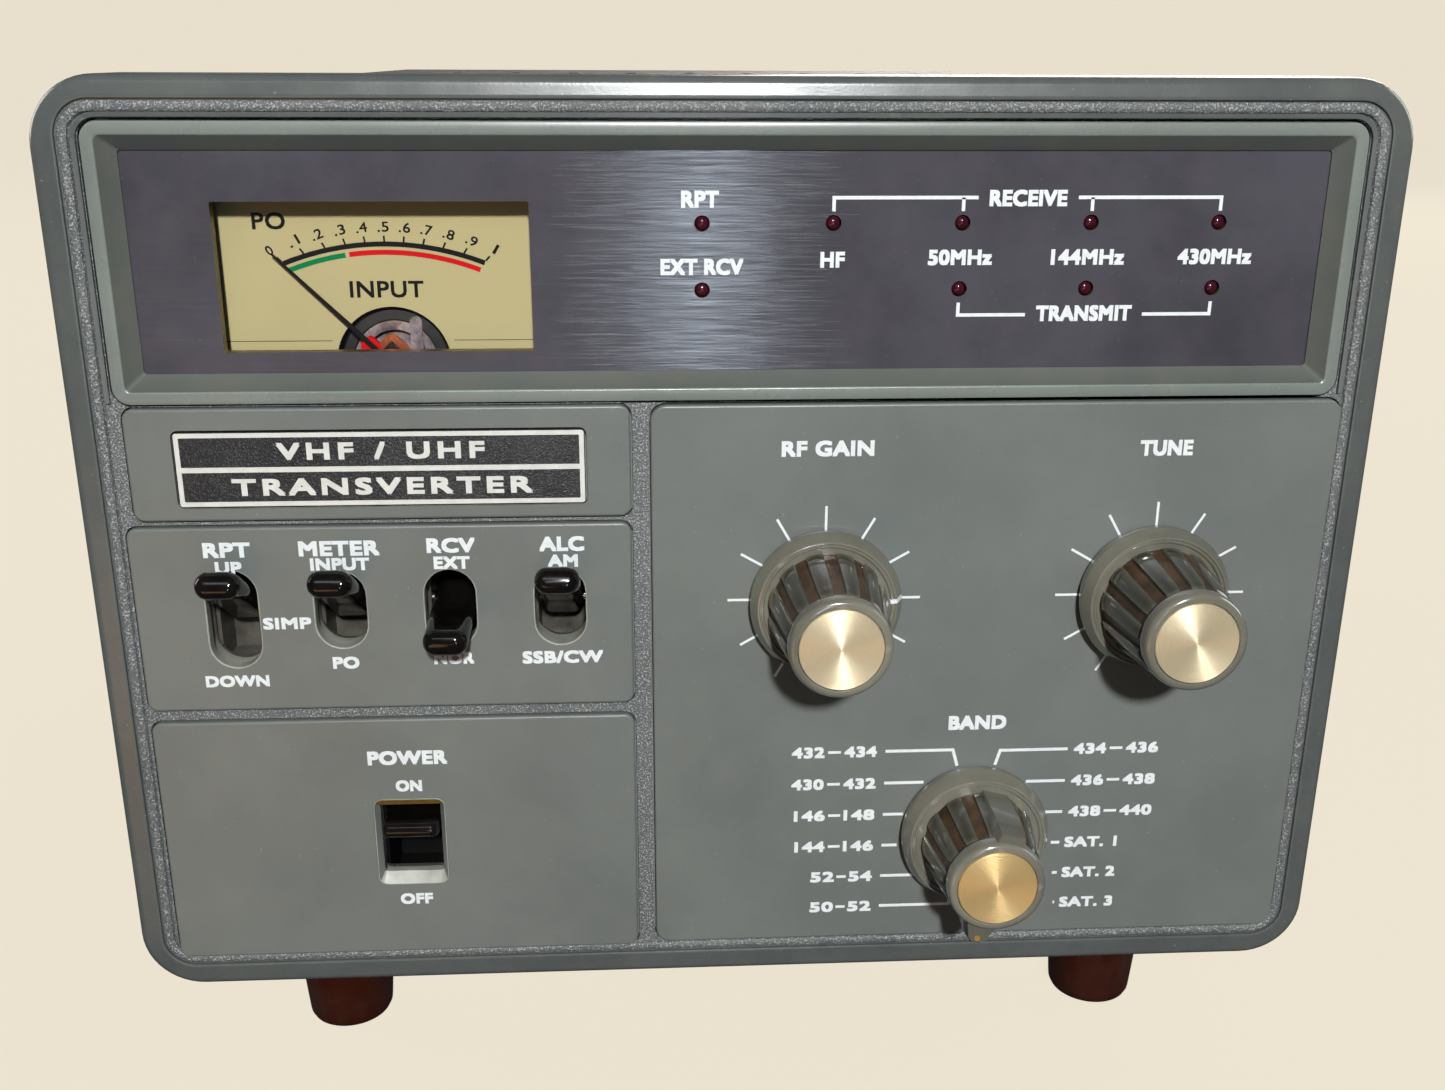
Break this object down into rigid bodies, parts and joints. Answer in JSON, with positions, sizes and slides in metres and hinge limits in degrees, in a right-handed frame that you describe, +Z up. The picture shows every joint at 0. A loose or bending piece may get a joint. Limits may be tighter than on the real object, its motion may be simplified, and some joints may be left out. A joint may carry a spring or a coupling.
{
  "type": "vhf uhf transverter",
  "caption": "Desktop transverter case with a lit meter, status lamps, lever switches, fluted rotary knobs and a band selector, on rubber feet.",
  "frame": {"origin": "bottom centre of the whole object's box, on the surface that the feet stand on", "axes": "+X to the right seen from the front, +Y from the front panel to the rear, +Z up"},
  "size_m": [0.2118, 0.347, 0.1796],
  "materials": {
    "bezel_paint": "satin grey-green paint with a fine grain",
    "panel_paint": "satin grey-green paint",
    "smoked_window": "smoked, polished",
    "badge": "matt black with bright lines",
    "zinc_steel": "zinc plated",
    "meter_plastic": "black moulding",
    "meter_lens": "clear, polished",
    "scale_card": "cream printed card",
    "meter_movement": "dark, satin",
    "needle": "matt black",
    "circuit_board": "solder resist",
    "lever_plastic": "polished black",
    "black_plastic": "black moulding",
    "knob_plastic": "polished black",
    "spun_cap": "spun, gold anodised",
    "bright_steel": "bright",
    "socket_metal": "nickel plated",
    "case_paint": "fine textured dark grey paint",
    "foot_rubber": "matt",
    "cast_aluminium": "cast, dark",
    "transformer_steel": "varnished laminations",
    "shield_can": "bright folded sheet"
  },
  "bodies": {
    "case": {"front_bezel": "bezel_paint", "window_frame": "bezel_paint", "window_panel": "smoked_window", "nameplate_panel": "panel_paint", "switch_panel": "panel_paint", "power_panel": "panel_paint", "control_panel": "panel_paint", "name_badge": "badge", "sub_panel": "zinc_steel", "chassis": "zinc_steel", "rear_panel": "zinc_steel", "rpt_switch_body": "zinc_steel", "meter_switch_body": "zinc_steel", "rcv_switch_body": "zinc_steel", "alc_switch_body": "zinc_steel", "rf_gain_potentiometer": "zinc_steel", "tune_potentiometer": "zinc_steel", "band_rotary_switch": "zinc_steel", "meter_housing": "meter_plastic", "meter_lens": "meter_lens", "meter_scale": "scale_card", "meter_movement": "meter_movement", "lamp_board": "circuit_board", "main_board": "circuit_board", "power_switch_body": "black_plastic", "jack_strip": "black_plastic", "fuse_holder": "black_plastic", "power_inlet": "black_plastic", "filter_capacitors": "black_plastic", "low_band_socket": "socket_metal", "middle_band_socket": "socket_metal", "high_band_socket": "socket_metal", "accessory_socket": "socket_metal", "ground_terminal": "socket_metal", "top_cover": "case_paint", "bottom_cover": "case_paint", "front_left_foot": "foot_rubber", "front_right_foot": "foot_rubber", "rear_left_foot": "foot_rubber", "rear_right_foot": "foot_rubber", "heat_sink": "cast_aluminium", "power_transformer": "transformer_steel", "low_band_module": "shield_can", "middle_band_module": "shield_can", "high_band_module": "shield_can"},
    "rf_gain_rotor": {"rf_gain_knob": "knob_plastic", "rf_gain_cap": "spun_cap", "rf_gain_shaft": "bright_steel"},
    "tune_rotor": {"tune_knob": "knob_plastic", "tune_cap": "spun_cap", "tune_shaft": "bright_steel"},
    "band_rotor": {"band_knob": "knob_plastic", "band_cap": "spun_cap", "band_shaft": "bright_steel"},
    "rpt_lever": {"rpt_switch_lever": "lever_plastic"},
    "meter_lever": {"meter_switch_lever": "lever_plastic"},
    "rcv_lever": {"rcv_switch_lever": "lever_plastic"},
    "alc_lever": {"alc_switch_lever": "lever_plastic"},
    "power_lever": {"power_switch_lever": "lever_plastic"},
    "needle": {"meter_needle": "needle"}
  },
  "joints": [
    {"name": "rf_gain_turn", "type": "hinge", "parent": "case", "child": "rf_gain_rotor", "pos_m": [0.0148, -0.15545, 0.0957], "axis": [0, 1, 0], "range_deg": [-240, 60]},
    {"name": "tune_turn", "type": "hinge", "parent": "case", "child": "tune_rotor", "pos_m": [0.0706, -0.15545, 0.0957], "axis": [0, 1, 0], "range_deg": [-260, 40]},
    {"name": "band_turn", "type": "hinge", "parent": "case", "child": "band_rotor", "pos_m": [0.0426, -0.15545, 0.0512], "axis": [0, 1, 0], "range_deg": [0, 330]},
    {"name": "rpt_tilt", "type": "hinge", "parent": "case", "child": "rpt_lever", "pos_m": [-0.0833, -0.14145, 0.0938], "axis": [1, 0, 0], "range_deg": [0, 52]},
    {"name": "meter_tilt", "type": "hinge", "parent": "case", "child": "meter_lever", "pos_m": [-0.06565, -0.14145, 0.0938], "axis": [1, 0, 0], "range_deg": [0, 32.5]},
    {"name": "rcv_tilt", "type": "hinge", "parent": "case", "child": "rcv_lever", "pos_m": [-0.0476, -0.14145, 0.0938], "axis": [1, 0, 0], "range_deg": [-32.5, 0]},
    {"name": "alc_tilt", "type": "hinge", "parent": "case", "child": "alc_lever", "pos_m": [-0.02945, -0.14145, 0.0938], "axis": [1, 0, 0], "range_deg": [0, 32.5]},
    {"name": "power_tilt", "type": "hinge", "parent": "case", "child": "power_lever", "pos_m": [-0.0568, -0.13745, 0.0513], "axis": [1, 0, 0], "range_deg": [0, 24]},
    {"name": "needle_swing", "type": "hinge", "parent": "case", "child": "needle", "pos_m": [-0.0556, -0.14225, 0.1344], "axis": [0, 1, 0], "range_deg": [0, 88], "stiffness_Nm_per_rad": 0.0003}
  ]
}
